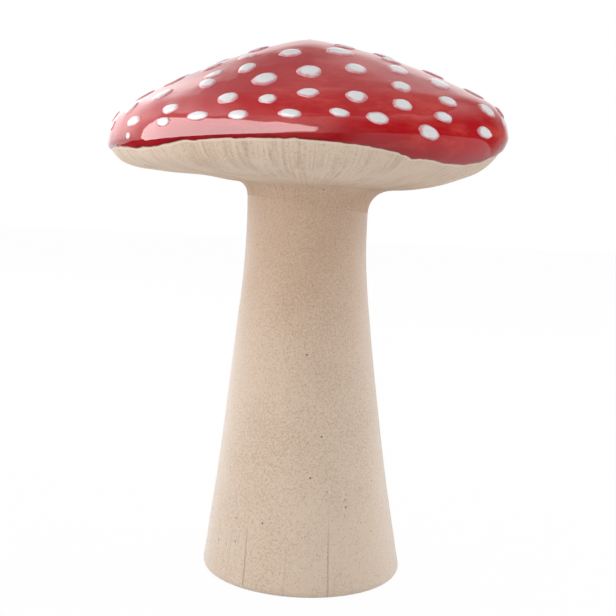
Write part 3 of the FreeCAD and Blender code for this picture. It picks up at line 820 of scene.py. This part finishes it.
def make_floor():
    """A plain pale floor that the camera sees white, with the shadow that falls on it."""
    bpy.ops.object.select_all(action="DESELECT")
    bpy.ops.mesh.primitive_plane_add(size=6, location=(0, 0, FLOOR_LEVEL))
    floor = bpy.context.object
    floor.name = "pale_floor"
    bpy.ops.object.mode_set(mode="EDIT")
    bpy.ops.mesh.subdivide(number_cuts=4)
    bpy.ops.object.mode_set(mode="OBJECT")
    material, shader, here = new_material("pale_floor")
    shader.inputs["Base Color"].default_value = (0.8, 0.8, 0.8, 1)
    shader.inputs["Roughness"].default_value = 0.9
    glow = here.node("ShaderNodeEmission", {}, {"Strength": 1.0})
    path = material.node_tree.nodes.new("ShaderNodeLightPath")
    seen = seen_share(here, path)
    diffuse = Shade(here.tree, shader.outputs[0])
    mixed = here.node("ShaderNodeMixShader", {}, {0: seen * 0.97, 1: diffuse, 2: glow})
    output = material.node_tree.nodes["Material Output"]
    here.tree.links.new(mixed.socket, output.inputs["Surface"])
    floor.data.materials.append(material)


def seen_share(here, path):
    """1 for what the camera sees straight, in a gloss or through glass, and 0 for other light."""
    names = ("Is Camera Ray", "Is Glossy Ray", "Is Transmission Ray")
    straight, gloss, glass = (Shade(here.tree, path.outputs[name]) for name in names)
    return straight.maths("MAXIMUM", straight, gloss.maths("MAXIMUM", gloss, glass))


def make_world():
    """A white world that lights the ornament less than it shows in the gloss."""
    world = bpy.data.worlds.new("studio")
    bpy.context.scene.world = world
    world.use_nodes = True
    tree = world.node_tree
    background = tree.nodes["Background"]
    background.inputs["Color"].default_value = (1, 1, 1, 1)
    path = tree.nodes.new("ShaderNodeLightPath")
    start = Shade(tree, path.outputs[0])
    level = seen_share(start, path) * (1 - WORLD_LIGHT) + WORLD_LIGHT
    tree.links.new(level.socket, background.inputs["Strength"])


def add_lamp(name, place, aim, width, height, level):
    """A soft panel lamp whose face is as bright as a level, where 1 is white."""
    light = bpy.data.lights.new(name, "AREA")
    light.shape = "RECTANGLE"
    light.size = width
    light.size_y = height
    light.energy = level * width * height * 4
    lamp = bpy.data.objects.new(name, light)
    place = Vector(place)
    lamp.location = place
    lamp.rotation_euler = (Vector(aim) - place).to_track_quat("-Z", "Y").to_euler()
    lamp.visible_camera = False
    lamp.visible_glossy = False
    bpy.context.collection.objects.link(lamp)


def add_card(name, radius, low, high, first, last, level, soft, fade):
    """A bent card round the ornament, between two heights and two azimuths, with soft edges."""
    bpy.ops.object.select_all(action="DESELECT")
    middle = (0, 0, (low + high) / 2)
    middle_turn, half_turn = (first + last) / 2, (last - first) / 2
    bpy.ops.mesh.primitive_cylinder_add(
        vertices=CARD_SIDES, radius=radius, depth=high - low, end_fill_type="NOTHING", location=middle)
    card = bpy.context.object
    card.name = name
    bpy.ops.object.mode_set(mode="EDIT")
    bpy.ops.mesh.select_mode(type="FACE")
    bpy.ops.mesh.select_all(action="DESELECT")
    bpy.ops.object.mode_set(mode="OBJECT")
    for face in card.data.polygons:
        azimuth = math.degrees(math.atan2(face.center.x, -face.center.y))
        face.select = abs((azimuth - middle_turn + 180) % 360 - 180) > half_turn
    bpy.ops.object.mode_set(mode="EDIT")
    bpy.ops.mesh.delete(type="FACE")
    bpy.ops.mesh.select_mode(type="VERT")
    bpy.ops.object.mode_set(mode="OBJECT")
    bpy.ops.object.transform_apply(location=True, rotation=True, scale=True)
    material, _, here = new_material(name)
    _, _, z = split_axes(here)
    whole = z.between(high, high - soft) * inside_turn(here, first, last, fade)
    if low > 0:
        whole = whole * z.between(low, low + soft)
    show_gloss_only(card, material, here, whole, level)


def show_gloss_only(card, material, here, whole, level):
    """Makes a card glow where it is whole and clear elsewhere, for gloss rays alone."""
    clear = here.node("ShaderNodeBsdfTransparent")
    glow = here.node("ShaderNodeEmission", {}, {"Strength": level})
    mixed = here.node("ShaderNodeMixShader", {}, {0: whole, 1: clear, 2: glow})
    here.tree.links.new(mixed.socket, material.node_tree.nodes["Material Output"].inputs["Surface"])
    card.data.materials.append(material)
    card.visible_camera = False
    card.visible_diffuse = False
    card.visible_shadow = False


def add_wall_card(name, corners, level):
    """A flat upright card from its four corners."""
    bpy.ops.object.select_all(action="DESELECT")
    bpy.ops.mesh.primitive_plane_add(size=1)
    card = bpy.context.object
    card.name = name
    for vertex, corner in zip(card.data.vertices, corners):
        vertex.co = corner
    material, _, here = new_material(name)
    show_gloss_only(card, material, here, 1.0, level)


def add_round_card(name, radius, height):
    """A level round card over the ornament's middle."""
    bpy.ops.object.select_all(action="DESELECT")
    bpy.ops.mesh.primitive_circle_add(
        vertices=CARD_SIDES, radius=radius, fill_type="NGON", location=(0, 0, height))
    bpy.ops.object.transform_apply(location=True, rotation=True, scale=True)
    card = bpy.context.object
    card.name = name
    return card


def add_table_card(name, radius, height, first, last, level, fade):
    """A card on the floor, cut to a fan with soft sides."""
    card = add_round_card(name, radius, height)
    material, _, here = new_material(name)
    show_gloss_only(card, material, here, inside_turn(here, first, last, fade), level)


def add_ceiling_card(name, height, level, right=None, left=None):
    """A wide card over the studio, whole or fading in from its right to its left."""
    card = add_round_card(name, 3, height)
    material, _, here = new_material(name)
    x, _, _ = split_axes(here)
    whole = 1.0 if right is None else x.between(right, left)
    show_gloss_only(card, material, here, whole, level)


def inside_turn(here, first, last, fade):
    """1 between two azimuths, falling softly to 0 at both."""
    x, y, _ = split_axes(here)
    turn = x.maths("ARCTAN2", x, 0 - y) * (180 / math.pi) - (first + last) / 2
    aside = turn.maths("ABSOLUTE", turn.maths("WRAP", turn, 180.0, -180.0))
    return aside.between((last - first) / 2, (last - first) / 2 - fade)


make_floor()
make_world()
add_lamp("left_wall_panel", (-0.55, -1.6, 0.27), (0.4, -1.6, 0.27), 3.3, 0.54, 0.95)
add_lamp("back_left_softbox", (-0.74, 0.95, 0.8), (0, 0, 0.17), 0.75, 1.1, 2)
add_lamp("right_softbox", (0.75, 0.3, 0.4), (0, 0, 0.1), 0.8, 0.7, 1.5)
add_wall_card("left_wall_card", (
    (0.056, -0.679, 0.143), (-0.136, -0.030, 0.132), (0.056, -0.679, 0.334), (-0.136, -0.030, 0.213)), 6)
add_table_card("dark_table_card", 0.62, 0.004, -150, 36, 0.05, 20)
add_table_card("right_table_card", 0.62, 0.002, 10, 195, 0.5, 16)
add_card("backdrop_card", 1.5, 0, 1.2, 120, 212, 0.8, 0.5, 16)
add_card("back_left_card", 0.9, 0.05, 0.9, 190, 262, 2.0, 0.3, 14)
add_card("back_low_card", 0.88, 0.1, 0.72, 140, 200, 1.05, 0.16, 14)
add_card("right_shoulder_card", 0.93, 0.35, 1.25, 140, 184, 0.64, 0.3, 14)
add_card("right_card", 0.62, 0, 0.74, -10, 168, 0.05, 0.36, 46)
add_card("back_card", 0.95, 0.4, 1.25, 120, 215, 0.22, 0.35, 30)
add_ceiling_card("ceiling_card", CEILING_HIGH, 0.34)
add_ceiling_card("left_ceiling_card", LEFT_CEILING_HIGH, 2.2, -0.6, -2.9)

# Camera: its place in metres, and how many degrees it looks down and leans.
CAMERA_PLACE = (0.00284, -0.423, 0.1468)
CAMERA_DOWN = 6.02
CAMERA_LEAN = 2.6

camera_data = bpy.data.cameras.new("camera")
camera_data.sensor_width = 36
camera_data.lens = 64.29
camera = bpy.data.objects.new("camera", camera_data)
look_down = Matrix.Rotation(math.radians(90 - CAMERA_DOWN), 4, "X")
lean = Matrix.Rotation(math.radians(CAMERA_LEAN), 4, "Z")
camera.matrix_world = Matrix.Translation(CAMERA_PLACE) @ look_down @ lean
bpy.context.collection.objects.link(camera)
bpy.context.scene.camera = camera
bpy.context.scene.view_settings.view_transform = "Standard"
